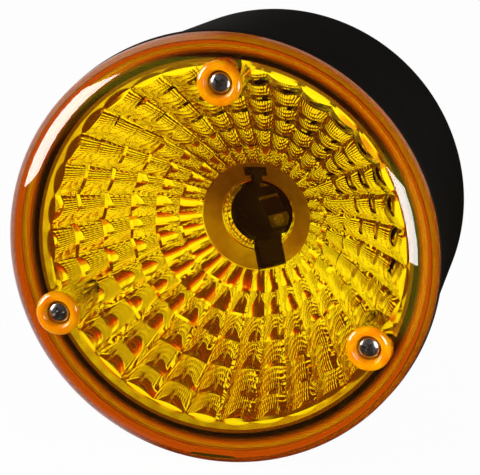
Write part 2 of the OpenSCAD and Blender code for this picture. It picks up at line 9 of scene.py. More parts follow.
import bmesh
import bpy
import numpy as np
from mathutils import Matrix, Vector


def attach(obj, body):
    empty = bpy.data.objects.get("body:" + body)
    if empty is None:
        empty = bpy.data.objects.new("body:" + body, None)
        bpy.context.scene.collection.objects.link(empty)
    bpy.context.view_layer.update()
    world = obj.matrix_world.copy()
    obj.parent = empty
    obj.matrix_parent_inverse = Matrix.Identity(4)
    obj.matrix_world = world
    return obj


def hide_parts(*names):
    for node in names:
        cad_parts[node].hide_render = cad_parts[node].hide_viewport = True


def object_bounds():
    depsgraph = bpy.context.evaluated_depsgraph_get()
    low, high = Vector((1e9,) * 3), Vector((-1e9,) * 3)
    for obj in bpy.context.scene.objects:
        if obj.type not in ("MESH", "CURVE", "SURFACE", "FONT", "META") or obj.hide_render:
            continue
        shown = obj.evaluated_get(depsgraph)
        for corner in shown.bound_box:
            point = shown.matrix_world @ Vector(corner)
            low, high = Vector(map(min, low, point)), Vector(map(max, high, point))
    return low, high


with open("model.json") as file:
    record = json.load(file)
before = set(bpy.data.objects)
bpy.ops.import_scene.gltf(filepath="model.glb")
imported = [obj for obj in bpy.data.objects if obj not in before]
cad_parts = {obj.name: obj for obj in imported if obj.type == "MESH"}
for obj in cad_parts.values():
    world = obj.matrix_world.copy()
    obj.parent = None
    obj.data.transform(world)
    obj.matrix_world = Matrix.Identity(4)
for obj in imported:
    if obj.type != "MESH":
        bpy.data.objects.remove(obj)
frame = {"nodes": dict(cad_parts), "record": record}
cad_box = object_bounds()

TAU = 2 * math.pi
MM_PER_M = 1000

# Fits: a seat, a loose fit, and how far a cutter runs past the face that it cuts
SEAT_GAP, LOOSE, PAST = 0.05, 0.3, 1.0

# Lens cap
LENS_R, SEAT_Z, INNER_Z, FRONT_Z = 70.0, 80.0, 88.2, 91.2
SKIRT, EDGE_ROUND, SIDE_WALL, FOOT_BREAK = 2.9, 11.9, 3.3, 0.25

# Thick rings of the lens round its screws, and the holes that they fill
RING_R, CREST_R, RING_TOP, PAD_R = 7.3, 5.1, 92.8, 4.9
RING_HOLE_R, PLUG_R = 7.0, 6.97

# Lens screws
SCREW_CIRCLE = 56.0
SCREW_NAMES, SCREW_ANGLES, RECESS_TURNS = ("top", "left", "right"), (90, 205, -25), (45, 20, 60)
HEAD_SEAT, HEAD_Z, HEAD_R, HEAD_H = 88.6, 89.45, 3.5, 2.4
SHANK_R, SHANK_L, CLEAR_R, CORE_R, TIP_L, SCREW_PITCH = 1.6, 25.0, 1.9, 1.22, 1.6, 1.3
RECESS_REACH, RECESS_HALF, RECESS_DEPTH = 2.5, 0.62, 1.5

# Reflector's bowl and facets: the arches and leans of a facet are shares of its sides
RIM_R, RIM_Z, VERTEX_Z, SHEET = 60.2, 79.3, 31.5, 1.2
SECTORS, FACET_STEPS, FACET_IN, FACET_PITCH, FACET_OUT = 32, 10, 18.8, 6.9, 58.3
ROWS = np.append(np.arange(FACET_IN, FACET_OUT, FACET_PITCH), FACET_OUT)
BULGE_ALONG, BULGE_ACROSS, SEEDED_LEAN = 0.025, 0.11, 0.04
AWAY_LEAN, AWAY_ANGLE = 0.11, 50

# Reflector's throat, neck and towers
BORE_R, MOUTH_R, NECK_Z, NECK_R, NOTCH_TOP = 10.1, 11.6, 27.0, 20.8, 37.5
TOWER_R, TOWER_Z, TOWER_CAP, TOWER_ROUND, PILLAR_R = 6.5, 87.2, 1.6, 0.5, 4.6
HOLDER_TURN = 20.0

# Housing
BACK_R, HOUSING_R, WALL, BACK_T, BACK_ROUND = 63.75, 69.2, 2.8, 3.0, 2.0
BEAD_R, BEAD_Z, BEAD_ROUND, RIM_ROUND = 70.27, 77.2, 0.4, 0.5
RIM_TOP, GROOVE_OUT, GROOVE_IN, GROOVE_Z = 79.6, 68.2, 62.9, 77.3
LIP_IN, LIP_Z, LAND_Z = 61.7, 78.9, 68.3
ROOT_Z, RIB_HALF, BOSS_WALL = 1.0, 1.0, 2.0

# Threaded inserts of M5, and the cable inlet, whose place is a radius and an angle
INSERT_CIRCLE, INSERT_ANGLES, INSERT_R, INSERT_L = 42.0, (60, 180, 300), 3.5, 9.5
INSERT_THREAD_R, INSERT_THREAD_DEPTH, INSERT_PITCH, INSERT_GROOVE = 2.5, 0.4, 0.8, 0.4
INLET, INLET_R, INLET_SEAT_R, INLET_SEAT_Z = (34.0, -25.0), 8.0, 10.45, 1.2

# Pad and screw hole under the terminal block
BLOCK_PAD_IN, BLOCK_PAD_OUT, BLOCK_PAD_HALF, BLOCK_PAD_TOP = 40, 53, 12, 5
BLOCK_HOLE_R, BLOCK_HOLE_CIRCLE, BLOCK_HOLE_TOP = 1.35, 46.5, 6


def linear(code):
    """An sRGB hex colour as linear red, green and blue, with full alpha."""
    s = np.array([int(code[i:i + 2], 16) for i in (1, 3, 5)]) / 255
    return (*np.where(s <= 0.04045, s / 12.92, ((s + 0.055) / 1.055) ** 2.4), 1.0)


def put(tree, kind, inputs=None, stops=(), **settings):
    """Adds a shader node: settings are its properties, inputs are values or other nodes' sockets, and stops
    are the places and hex colours of a colour ramp."""
    node = tree.nodes.new("ShaderNode" + kind)
    for key, value in settings.items():
        setattr(node, key, value)
    for key, value in (inputs or {}).items():
        if isinstance(value, bpy.types.NodeSocket):
            tree.links.new(value, node.inputs[key])
        else:
            node.inputs[key].default_value = value
    for _ in stops[2:]:
        node.color_ramp.elements.new(0.5)
    for index, (place, code) in enumerate(stops):
        stop = node.color_ramp.elements[index]
        stop.position, stop.color = place, linear(code)
    return node


def blank(name):
    """An empty material and its node tree, with the object's own coordinates ready."""
    material = bpy.data.materials.new(name)
    material.use_nodes = True
    tree = material.node_tree
    tree.nodes.clear()
    return material, tree, put(tree, "TexCoord").outputs["Object"]


def finish_surface(tree, shader, volume=None):
    """Joins a shader, and a volume if there is one, to the material's output."""
    out = put(tree, "OutputMaterial", {"Surface": shader})
    if volume is not None:
        tree.links.new(volume, out.inputs["Volume"])


def per_mm(size):
    """Noise scale whose features are about this many millimetres across, on coordinates in metres."""
    return MM_PER_M / size


def mottled(tree, at, size, detail, dark, light):
    """A colour that drifts between two hex colours, in clouds about this many millimetres across."""
    cloud = put(tree, "TexNoise", {"Vector": at, "Scale": per_mm(size), "Detail": detail})
    return put(tree, "Mix", {"Factor": cloud.outputs["Fac"], "A": linear(dark), "B": linear(light)},
               data_type="RGBA").outputs[2]


def between_radii(tree, at, inner, outer):
    """Where a point lies between two distances from the lamp's axis, in millimetres: 0 at the inner, 1 at
    the outer."""
    flat = put(tree, "VectorMath", {0: at, 1: (MM_PER_M, 0, MM_PER_M)}, operation="MULTIPLY")
    radius = put(tree, "VectorMath", {0: flat.outputs[0]}, operation="LENGTH")
    return put(tree, "MapRange", {
        "Value": radius.outputs["Value"], "From Min": inner, "From Max": outer}).outputs[0]


# Materials

AMBER_IOR = 1.58
AMBER_GLOW = (1.0, 0.35, 0.05)


def amber_acrylic():
    """Clear amber acrylic, injection moulded: glassy, yellow where thin and deeper where light runs far. Its
    loss of light per metre is small for red, larger for green and very large for blue."""
    material, tree, at = blank("amber_acrylic_moulded")
    red_loss, green_loss, blue_loss = 6.02, 19.78, 860.0
    flow = put(tree, "TexNoise", {"Vector": at, "Scale": per_mm(14), "Detail": 1.0})
    bump = put(tree, "Bump", {"Strength": 0.02, "Distance": 0.4 / MM_PER_M, "Height": flow.outputs["Fac"]})
    shader = put(tree, "BsdfPrincipled", {
        "Base Color": linear("#fffdf4"), "Roughness": 0.01, "IOR": AMBER_IOR,
        "Transmission Weight": 1.0, "Normal": bump.outputs["Normal"]})
    soak = put(tree, "VolumeAbsorption", {
        "Color": (1 - red_loss / blue_loss, 1 - green_loss / blue_loss, 0.0, 1.0), "Density": blue_loss})
    finish_surface(tree, shader.outputs[0], soak.outputs[0])
    return material


def thick_amber():
    """The same amber where it is thick: light strays inside it, and that glow is painted into its colour, in
    clouds of deep orange and gold."""
    material, tree, at = blank("amber_thick_section")
    # painted glow: clouds of deep orange and gold in the colour stand in for light straying inside the thick
    # amber
    shader = put(tree, "BsdfPrincipled", {
        "Base Color": mottled(tree, at, 4, 2.0, "#cf4e00", "#f2b200"), "Roughness": 0.03, "IOR": AMBER_IOR,
        "Subsurface Weight": 0.7, "Subsurface Radius": AMBER_GLOW, "Subsurface Scale": 3 / MM_PER_M})
    finish_surface(tree, shader.outputs[0])
    return material


def striped_amber():
    """The foot of the lens, matt: orange, gold and red bands from its inside to its outside, a painted glow
    of the light that runs and bends inside the lens's rim.
    """
    material, tree, at = blank("amber_foot_painted_glow")
    # painted glow: bands of orange, gold and red across the foot stand in for light carried inside the rim
    tone = put(tree, "ValToRGB", {"Fac": between_radii(tree, at, LENS_R - SIDE_WALL, LENS_R + 0.1)}, [
        (0.0, "#d8540f"), (0.25, "#f0901c"), (0.5, "#ffc53a"), (0.7, "#e8641a"), (0.88, "#b42014")])
    shader = put(tree, "BsdfPrincipled", {
        "Base Color": tone.outputs["Color"], "Roughness": 0.5, "IOR": AMBER_IOR, "Subsurface Weight": 0.5,
        "Subsurface Radius": AMBER_GLOW, "Subsurface Scale": 0.5 / MM_PER_M})
    finish_surface(tree, shader.outputs[0])
    return material


def silicone_seal():
    """Orange silicone, matt: dark brown at the inside, orange and then gold towards the lens's foot, painted
    shade at the inside and painted light towards the foot. Its grit is drawn coarser than the real one, so
    that it shows."""
    material, tree, at = blank("orange_silicone_seal")
    # painted shade and light: dark brown at the seal's inside edge, gold towards the lens's foot
    tone = put(tree, "ValToRGB", {"Fac": between_radii(tree, at, GROOVE_IN + 0.1, LENS_R - 3)}, [
        (0.0, "#43200f"), (0.25, "#a04a16"), (0.45, "#f08028"), (0.7, "#ffc050"), (1.0, "#ffdc80")])
    grit = put(tree, "TexNoise", {"Vector": at, "Scale": per_mm(0.6), "Detail": 2.0})
    bump = put(tree, "Bump", {"Strength": 0.3, "Distance": 0.03 / MM_PER_M, "Height": grit.outputs["Fac"]})
    shader = put(tree, "BsdfPrincipled", {
        "Base Color": tone.outputs["Color"], "Roughness": 0.55, "Normal": bump.outputs["Normal"]})
    finish_surface(tree, shader.outputs[0])
    return material


def metallised_plastic():
    """Plastic with a vacuum-deposited aluminium coat: a clean mirror with a faint drift in its gloss, brown
    and satin on the plain ring inside the facets, and satin on the plain band outside them. The brown is
    painted shade that darkens what the ring mirrors."""
    material, tree, at = blank("metallised_plastic_coat")
    drift = put(tree, "TexNoise", {"Vector": at, "Scale": per_mm(9), "Detail": 2.0})
    haze = put(tree, "MapRange", {"Value": drift.outputs["Fac"], "To Min": 0.005, "To Max": 0.03})
    band = put(tree, "MapRange", {
        "Value": between_radii(tree, at, FACET_OUT + 0.1, FACET_OUT + 0.5),
        "To Min": haze.outputs[0], "To Max": 0.16})
    ring = put(tree, "ValToRGB", {"Fac": between_radii(tree, at, 10, 20)}, [
        (0.2, "#000000"), (0.27, "#ffffff"), (0.82, "#ffffff"), (0.87, "#000000")]).outputs["Color"]
    rough = put(tree, "MapRange", {"Value": ring, "To Min": band.outputs[0], "To Max": 0.36})
    # painted shade: the plain ring's mottled brown darkens what it mirrors
    tone = put(tree, "Mix", {
        "Factor": ring, "A": linear("#faf6ec"), "B": mottled(tree, at, 4, 3.0, "#94714c", "#cba57a")},
        data_type="RGBA")
    shader = put(tree, "BsdfPrincipled", {
        "Base Color": tone.outputs[2], "Metallic": 1.0, "Roughness": rough.outputs[0]})
    finish_surface(tree, shader.outputs[0])
    return material


def moulded_plastic(name, dark, light, rough, specular, grain, depth):
    """Moulded plastic with a spark-eroded grain, its size and depth in millimetres: colour drifts slightly,
    and the grain roughens the gloss. The grain is drawn coarser than the real one, so that it shows."""
    material, tree, at = blank(name)
    grit = put(tree, "TexNoise", {"Vector": at, "Scale": per_mm(grain), "Detail": 2.0})
    gloss = put(tree, "MapRange", {
        "Value": grit.outputs["Fac"], "To Min": rough - 0.07, "To Max": rough + 0.07})
    bump = put(tree, "Bump", {
        "Strength": 0.35, "Distance": depth / MM_PER_M, "Height": grit.outputs["Fac"]})
    shader = put(tree, "BsdfPrincipled", {
        "Base Color": mottled(tree, at, 18, 3.0, dark, light), "Roughness": gloss.outputs[0],
        "Specular IOR Level": specular, "Normal": bump.outputs["Normal"]})
    finish_surface(tree, shader.outputs[0])
    return material


def worked_metal(name, dark, light, rough, grain):
    """Turned, drawn, stamped or coated metal: marks of this many millimetres vary its shade and gloss. They
    are drawn coarser than real ones, so that they show."""
    material, tree, at = blank(name)
    marks = put(tree, "TexNoise", {"Vector": at, "Scale": per_mm(grain), "Detail": 4.0, "Roughness": 0.6})
    tone = put(tree, "Mix", {"Factor": marks.outputs["Fac"], "A": linear(dark), "B": linear(light)},
               data_type="RGBA")
    gloss = put(tree, "MapRange", {
        "Value": marks.outputs["Fac"], "To Min": rough * 0.6, "To Max": rough * 1.4})
    shader = put(tree, "BsdfPrincipled", {
        "Base Color": tone.outputs[2], "Metallic": 1.0, "Roughness": gloss.outputs[0]})
    finish_surface(tree, shader.outputs[0])
    return material


AMBER = amber_acrylic()
THICK_AMBER = thick_amber()
FOOT_AMBER = striped_amber()
MIRROR = metallised_plastic()
SATIN_COAT = worked_metal("metallised_satin_coat", "#f8ecd0", "#fffaee", 0.1, 6)
BLACK = moulded_plastic("satin_black_moulded", "#1b1917", "#24211d", 0.6, 0.01, 0.5, 0.03)
HOLDER = moulded_plastic("brown_black_holder", "#150e09", "#21160d", 0.38, 0.4, 0.8, 0.03)
CREAM = moulded_plastic("cream_block_plastic", "#d9d3c2", "#e8e3d6", 0.4, 0.5, 0.6, 0.03)
RUBBER = moulded_plastic("black_rubber", "#0d0d0d", "#151515", 0.7, 0.25, 0.4, 0.05)
SEAL = silicone_seal()
RED_LEAD = moulded_plastic("red_lead_insulation", "#6e1512", "#84201a", 0.3, 0.5, 0.5, 0.01)
BLACK_LEAD = moulded_plastic("black_lead_insulation", "#101010", "#181818", 0.3, 0.5, 0.5, 0.01)
STEEL = worked_metal("zinc_plated_steel", "#9a9a9d", "#d0d0d0", 0.2, 0.5)
BRASS = worked_metal("turned_brass", "#b08a46", "#d3b066", 0.28, 0.5)
STRIP = worked_metal("rolled_brass_strip", "#86662c", "#a58545", 0.45, 0.8)

SLOT_FINISH = {
    "amber_lens": AMBER, "black_plastic": BLACK, "metallised_plastic": MIRROR, "holder_plastic": HOLDER,
    "rubber": RUBBER, "seal_silicone": SEAL, "steel": STEEL, "brass": BRASS, "contact_brass": STRIP,
    "block_plastic": CREAM, "red_wire": RED_LEAD, "black_wire": BLACK_LEAD}


# Shapes

def skin(rings, loop=False):
    """A shape from rings of points: quads between neighbouring rings, and from the last ring to the first if
    it is a loop."""
    rows, columns = rings.shape[:2]
    i = np.arange(rows if loop else rows - 1)[:, None]
    j = np.arange(columns)[None, :]
    up, on = (i + 1) % rows * columns, (j + 1) % columns
    quads = np.stack(np.broadcast_arrays(i * columns + j, i * columns + on, up + on, up + j), -1)
    return rings.reshape(-1, 3), quads.reshape(-1, 4).tolist()


def carried_round(radius, height, segments):
    """Rings of points: a radius and a height for each ring, carried round the axis in equal steps. The radius
    may also differ from point to point of a ring."""
    a = np.arange(segments) * TAU / segments
    return np.stack(np.broadcast_arrays(radius * np.cos(a), radius * np.sin(a), height), -1)


def profile_rings(profile, segments):
    """Rings of a surface of revolution from its profile of radii and heights."""
    p = np.asarray(profile, float)
    return carried_round(p[:, :1], p[:, 1:], segments)


def turned(profile, segments, loop=False):
    """Surface of revolution: a profile of radii and heights carried round the axis."""
    return skin(profile_rings(profile, segments), loop)


def rod(radius, low, high, segments):
    """A plain round bar on the axis, from one height to another."""
    return turned([(0, low), (radius, low), (radius, high), (0, high)], segments)


def prism(outline, low, high):
    """A flat outline carried straight up from one height to another, with both ends closed."""
    o = np.asarray(outline, float)
    n = len(o)
    points = np.vstack([np.column_stack([o, np.full(n, low)]), np.column_stack([o, np.full(n, high)])])
    k = np.arange(n)
    walls = np.column_stack([k, (k + 1) % n, n + (k + 1) % n, n + k])
    return points, [*walls.tolist(), list(range(n - 1, -1, -1)), list(range(n, 2 * n))]


def arc(centre, radii, start, end, steps):
    """Points of an elliptical arc in the profile plane, angles in degrees from the outward direction."""
    a = np.radians(np.linspace(start, end, steps + 1))
    return np.column_stack([centre[0] + radii[0] * np.cos(a), centre[1] + radii[1] * np.sin(a)])


def line(start, end, steps):
    """Evenly spaced points from a start up to, but without, the end."""
    t = np.arange(steps)[:, None] / steps
    return np.asarray(start, float) * (1 - t) + np.asarray(end, float) * t


def moved(shape, radius=0.0, angle=0.0, turn=0.0):
    """A shape turned about its own axis, then put at a radius and an angle about the lamp's axis."""
    points, faces = shape
    c, s = math.cos(math.radians(turn)), math.sin(math.radians(turn))
    out = points @ np.array([[c, s, 0], [-s, c, 0], [0, 0, 1]])
    a = math.radians(angle)
    return out + [radius * math.cos(a), radius * math.sin(a), 0], faces


def copies(shape, radius, angles):
    """A shape of quads repeated on a circle about the lamp's axis, as one set of points and faces."""
    points, faces = shape
    base = len(points) * np.arange(len(angles))[:, None, None]
    return (np.vstack([moved(shape, radius, angle)[0] for angle in angles]),
            (np.array(faces) + base).reshape(-1, 4).tolist())


def solid(name, shape):
    """A mesh object from a shape: drawing millimetres become metres in the shared frame, and points that fall
    together are merged."""
    same_point = 2e-7
    points, faces = shape
    p = np.asarray(points) / MM_PER_M
    mesh = bpy.data.meshes.new(name)
    mesh.from_pydata(np.column_stack([p[:, 0], -p[:, 2], p[:, 1]]), [], faces)
    bm = bmesh.new()
    bm.from_mesh(mesh)
    bmesh.ops.remove_doubles(bm, verts=bm.verts, dist=same_point)
    bmesh.ops.recalc_face_normals(bm, faces=bm.faces)
    bm.to_mesh(mesh)
    bm.free()
    obj = bpy.data.objects.new(name, mesh)
    bpy.context.scene.collection.objects.link(obj)
    return obj


def shaped(name, base, steps):
    """A base solid with helper solids joined to it, cut from it or kept in common, in the order given."""
    obj = solid(name, base)
    helpers = []
    for how, shape in steps:
        helper = solid(name + "_helper", shape)
        helpers.append(helper)
        change = obj.modifiers.new(how, "BOOLEAN")
        change.operation, change.solver, change.object = how, "MANIFOLD", helper
    view = bpy.context.evaluated_depsgraph_get()
    made = bpy.data.meshes.new_from_object(obj.evaluated_get(view))
    obj.modifiers.clear()
    obj.data = made
    for helper in helpers:
        bpy.data.objects.remove(helper)
    return obj


def dress(obj, material, body, nodes, crease):
    """Smooth shading with creases kept sharp, a material, the body that carries it and the nodes it stands
    for."""
    obj.data.materials.clear()
    obj.data.materials.append(material)
    obj.data.shade_smooth()
    obj.data.set_sharp_from_angle(angle=math.radians(crease))
    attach(obj, body)
    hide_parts(*nodes)


# Lens cap

def lens_profile():
    """Half section of the cap: flat face, elliptical edge and straight skirt, with an even wall inside them,
    whose corner is the ellipse of the edge less the wall."""
    first_step = 0.8
    centre = LENS_R - EDGE_ROUND, SEAT_Z + SKIRT
    outer = arc(centre, (EDGE_ROUND, FRONT_Z - centre[1]), 0, 90, 40)
    inner = arc(centre, (EDGE_ROUND - SIDE_WALL, INNER_Z - centre[1]), 90, 0, 30)
    foot = [(LENS_R - SIDE_WALL, SEAT_Z), (LENS_R - FOOT_BREAK, SEAT_Z), (LENS_R, SEAT_Z + FOOT_BREAK)]
    skirt = line((LENS_R, SEAT_Z + first_step), (LENS_R, SEAT_Z + SKIRT), 4)
    face = line((LENS_R - EDGE_ROUND - first_step, FRONT_Z), (0, FRONT_Z), 16)
    return np.vstack([line((0, INNER_Z), inner[0], 14), inner, foot, skirt, outer, face, [(0, FRONT_Z)]])


def lens_cap():
    """The cap turned from its section, with a round hole at each screw for the thick ring, and a matt foot
    where it stands on the seal, painted in bands of glow: the faces that lie within the foot's break of the
    seat."""
    hole = rod(RING_HOLE_R, SEAT_Z, RING_TOP, 96)
    obj = shaped("lens_cap", turned(lens_profile(), 384),
                 [("DIFFERENCE", moved(hole, SCREW_CIRCLE, a)) for a in SCREW_ANGLES])
    dress(obj, AMBER, "lens_cap", ["lens"], 26)
    obj.data.materials.append(FOOT_AMBER)
    middles = np.empty(3 * len(obj.data.polygons), np.float32)
    obj.data.polygons.foreach_get("center", middles)
    on_seat = np.abs(middles[1::3] * MM_PER_M + SEAT_Z) < FOOT_BREAK
    obj.data.polygons.foreach_set("material_index", on_seat.astype(np.int32))


def screw_rings():
    """Three thick rings of the lens round its screws: a pad on the tower, a round crest above, and inside it
    a dish that falls to the head's sink and to the screw's hole."""
    dish_z, pad_z = FRONT_Z - HEAD_H / 2, TOWER_Z + SEAT_GAP
    brim_z, crest_z, sink_r = FRONT_Z + 0.02, FRONT_Z + 0.1, HEAD_R + 0.25
    section = np.vstack([
        [(CLEAR_R, pad_z), (PAD_R, pad_z), (PAD_R, INNER_Z - SEAT_GAP),
         (PLUG_R, INNER_Z), (PLUG_R, brim_z), (RING_R, brim_z)],
        arc((CREST_R, crest_z), (RING_R - CREST_R, RING_TOP - crest_z), 0, 90, 16),
        arc((CREST_R, dish_z), (CREST_R - HEAD_R - LOOSE, RING_TOP - dish_z), 95, 180, 14),
        [(sink_r, HEAD_SEAT), (CLEAR_R, HEAD_SEAT)]])
    obj = solid("lens_screw_rings", copies(turned(section, 96, True), SCREW_CIRCLE, SCREW_ANGLES))
    dress(obj, THICK_AMBER, "lens_cap", ["lens"], 40)


# Reflector

def bowl_z(r):
    """Height of the bowl: a paraboloid from its vertex to the rim."""
    return VERTEX_Z + (RIM_Z - VERTEX_Z) * (np.asarray(r) / RIM_R) ** 2


def bowl_slope(r):
    """Rise of the bowl per step outwards."""
    return 2 * (RIM_Z - VERTEX_Z) * r / RIM_R ** 2


def bowl_back(r):
    """Points one sheet behind the bowl, along its normal."""
    slope = bowl_slope(r)
    n = np.sqrt(1 + slope ** 2)
    return np.column_stack([r + SHEET * slope / n, bowl_z(r) - SHEET / n])


def facet_leans():
    """Lean of each facet along and across it: a small seeded amount of its own. Facets towards the upper
    right also lean away from the throat, by the cosine of the angle from there, apart from the outermost
    row."""
    lean = np.random.default_rng(4).uniform(-SEEDED_LEAN, SEEDED_LEAN, (len(ROWS) - 1, 2, SECTORS))
    middle = (np.arange(SECTORS) + 0.5) * TAU / SECTORS
    lean[:-1, 0] -= AWAY_LEAN * np.clip(np.cos(middle - math.radians(AWAY_ANGLE)), 0, 1)
    return lean


def pillow_rings(along, across):
    """Rings of the faceted zone: in each facet a flat quad between four points of the bowl, lifted along the
    bowl's normal by two arches, 4s(1-s) along the facet and 4t(1-t) across it, each a share of that side, and
    by its lean."""
    sector = np.repeat(np.arange(SECTORS), across)
    t = np.tile(np.arange(across) / across, SECTORS)
    step = TAU / SECTORS
    a0, a1 = sector * step, (sector + 1) * step
    chord = np.stack([(1 - t) * np.cos(a0) + t * np.cos(a1), (1 - t) * np.sin(a0) + t * np.sin(a1)], -1)
    angle = (sector + t) * step
    rings = []
    for r0, r1, (lean_along, lean_across) in zip(ROWS[:-1], ROWS[1:], facet_leans()):
        s = (np.arange(along + (r1 == ROWS[-1])) / along)[:, None]
        r, z = r0 + (r1 - r0) * s, bowl_z(r0) + (bowl_z(r1) - bowl_z(r0)) * s
        slope = np.broadcast_to(bowl_slope(r), (len(r), len(t)))
        normal = np.stack([-slope * np.cos(angle), -slope * np.sin(angle), np.ones_like(slope)], -1)
        normal /= np.linalg.norm(normal, axis=-1, keepdims=True)
        length = math.hypot(r1 - r0, bowl_z(r1) - bowl_z(r0))
        width = 2 * r * math.sin(step / 2)
        arches = BULGE_ALONG * length * 4 * s * (1 - s) + BULGE_ACROSS * width * 4 * (t * (1 - t))[None, :]
        tilt = lean_along[sector] * length * (s - 0.5) + lean_across[sector] * width * (t - 0.5)
        height = np.broadcast_to(z[..., None], (len(r), len(t), 1))
        flat = np.concatenate([r[..., None] * chord[None], height], -1)
        rings.append(flat + (arches + tilt)[..., None] * normal)
    return np.concatenate(rings)


def reflector_rings():
    """All rings of the reflector, once round its section: throat with a step and a rounded lip, plain ring,
    facets, band, rim, back and neck."""
    segments = SECTORS * FACET_STEPS
    mouth_z, lip = float(bowl_z(MOUTH_R)), 0.5
    bore_top, ledge, ledge_top = mouth_z - 2.3, (BORE_R + 0.8, mouth_z - 1.5), (BORE_R + 0.85, mouth_z - 0.9)
    throat = np.vstack([
        [(BORE_R, NECK_Z), (BORE_R, bore_top), ledge, ledge_top],
        line((MOUTH_R - 0.55, mouth_z - 0.8), (MOUTH_R + 0.1, mouth_z - 0.1), 3),
        arc((MOUTH_R + lip, mouth_z - 0.45), (lip, lip), 140, 90, 4)])
    r = np.linspace(MOUTH_R + 0.9, FACET_IN * math.cos(math.pi / SECTORS) - SEAT_GAP, 10)
    plain_ring = np.column_stack([r, bowl_z(r)])
    band_r, band_z = FACET_OUT + LOOSE, float(bowl_z(FACET_OUT))
    band = np.vstack([[(band_r, band_z)], line((band_r + 0.05, band_z + 0.1), (RIM_R, RIM_Z), 6),
                      [(RIM_R, RIM_Z), (RIM_R + SHEET, RIM_Z)]])
    back = bowl_back(np.linspace(RIM_R - 0.4, NECK_R - 0.6, 40))
    neck = [(NECK_R, back[-1, 1] - 0.1), (NECK_R, NECK_Z)]
    return np.concatenate([
        profile_rings(np.vstack([throat, plain_ring]), segments), pillow_rings(FACET_STEPS, FACET_STEPS),
        profile_rings(np.vstack([band, back, neck]), segments)])


def notches():
    """The two notches in the throat, as cutters: a stepped one above and a plain one below."""
    slot, half, step, outer = 2.0, 3.85, BORE_R + 3.3, BORE_R + 6.6
    upper = [(0, -slot), (step, -slot), (step, -half), (outer, -half),
             (outer, half), (step, half), (step, slot), (0, slot)]
    wide, reach = 5.0, BORE_R + 7.9
    lower = [(0, -wide), (reach, -wide), (reach, wide), (0, wide)]
    return [moved(prism(outline, NECK_Z - PAST, NOTCH_TOP), turn=angle + HOLDER_TURN)
            for outline, angle in ((upper, 75), (lower, 270))]


def reflector():
    """The ringed shell with its notches cut, and three half-round towers in it with holes for pillars and
    screws: round posts, kept only where they stand in the bowl's hollow or above its rim."""
    reach, above = SCREW_CIRCLE + TOWER_R + 1, SEAT_Z + 10
    hollow = turned(np.vstack([
        bowl_back(np.linspace(0, RIM_R, 40)),
        [(RIM_R + SHEET - 0.02, RIM_Z), (reach, RIM_Z), (reach, above), (0, above)]]), 256)
    shoulder = TOWER_R - TOWER_ROUND, TOWER_Z - TOWER_ROUND
    post = np.vstack([
        [(0, NECK_Z), (TOWER_R, NECK_Z)], line((TOWER_R, NECK_Z + 6), (TOWER_R, shoulder[1]), 8),
        arc(shoulder, (TOWER_ROUND, TOWER_ROUND), 0, 90, 5), [(0, TOWER_Z)]])
    sleeve = rod(PILLAR_R + LOOSE, NECK_Z - PAST, TOWER_Z - TOWER_CAP, 96)
    hole = rod(CLEAR_R, NECK_Z, TOWER_Z + PAST, 96)
    bores = [moved(cut, SCREW_CIRCLE, a) for a in SCREW_ANGLES for cut in (sleeve, hole)]
    towers = shaped("reflector_towers", copies(turned(post, 96), SCREW_CIRCLE, SCREW_ANGLES),
                    [("INTERSECT", hollow)] + [("DIFFERENCE", bore) for bore in bores])
    dress(towers, SATIN_COAT, "lamp_base", ["reflector"], 30)
    bowl = shaped("reflector_bowl", skin(reflector_rings(), True),
                  [("DIFFERENCE", cut) for cut in bores + notches()])
    dress(bowl, MIRROR, "lamp_base", ["reflector"], 9)


# Housing

def inner_wall(z):
    """Radius of the inside of the flared wall at a height."""
    return BACK_R + (HOUSING_R - BACK_R) * z / SEAT_Z - WALL


def housing_profile():
    """Half section of the can: back with a rounded edge, flared wall, bead, rim with the seal's groove, lip
    and land for the reflector, and the inside."""
    back_edge, bead_z, rim_z, groove_break = BACK_R - BACK_ROUND, BEAD_Z + 0.3, RIM_TOP - RIM_ROUND, 0.2
    wall_foot, wall_top = (BACK_R + 0.15, 2.4), (HOUSING_R - 0.24, BEAD_Z - 1.1)
    bead_foot = HOUSING_R - 0.2, BEAD_Z - 1.0
    return np.vstack([
        line((0, 0), (back_edge, 0), 10),
        arc((back_edge, BACK_ROUND), (BACK_ROUND, BACK_ROUND), -90, -4, 10),
        line(wall_foot, wall_top, 24), [bead_foot],
        arc((BEAD_R - BEAD_ROUND, bead_z), (BEAD_ROUND, BEAD_ROUND), -50, 0, 4),
        arc((BEAD_R - RIM_ROUND, rim_z), (RIM_ROUND, RIM_ROUND), 0, 90, 5),
        [(GROOVE_OUT + groove_break, RIM_TOP), (GROOVE_OUT, RIM_TOP - groove_break),
         (GROOVE_OUT, GROOVE_Z), (GROOVE_IN, GROOVE_Z), (GROOVE_IN, LIP_Z), (LIP_IN, LIP_Z),
         (LIP_IN, GROOVE_Z - WALL), (inner_wall(LAND_Z), LAND_Z)],
        line((inner_wall(LAND_Z - 0.5), LAND_Z - 0.5), (inner_wall(BACK_T), BACK_T), 10),
        line((inner_wall(BACK_T), BACK_T), (0, BACK_T), 8), [(0, BACK_T)]])


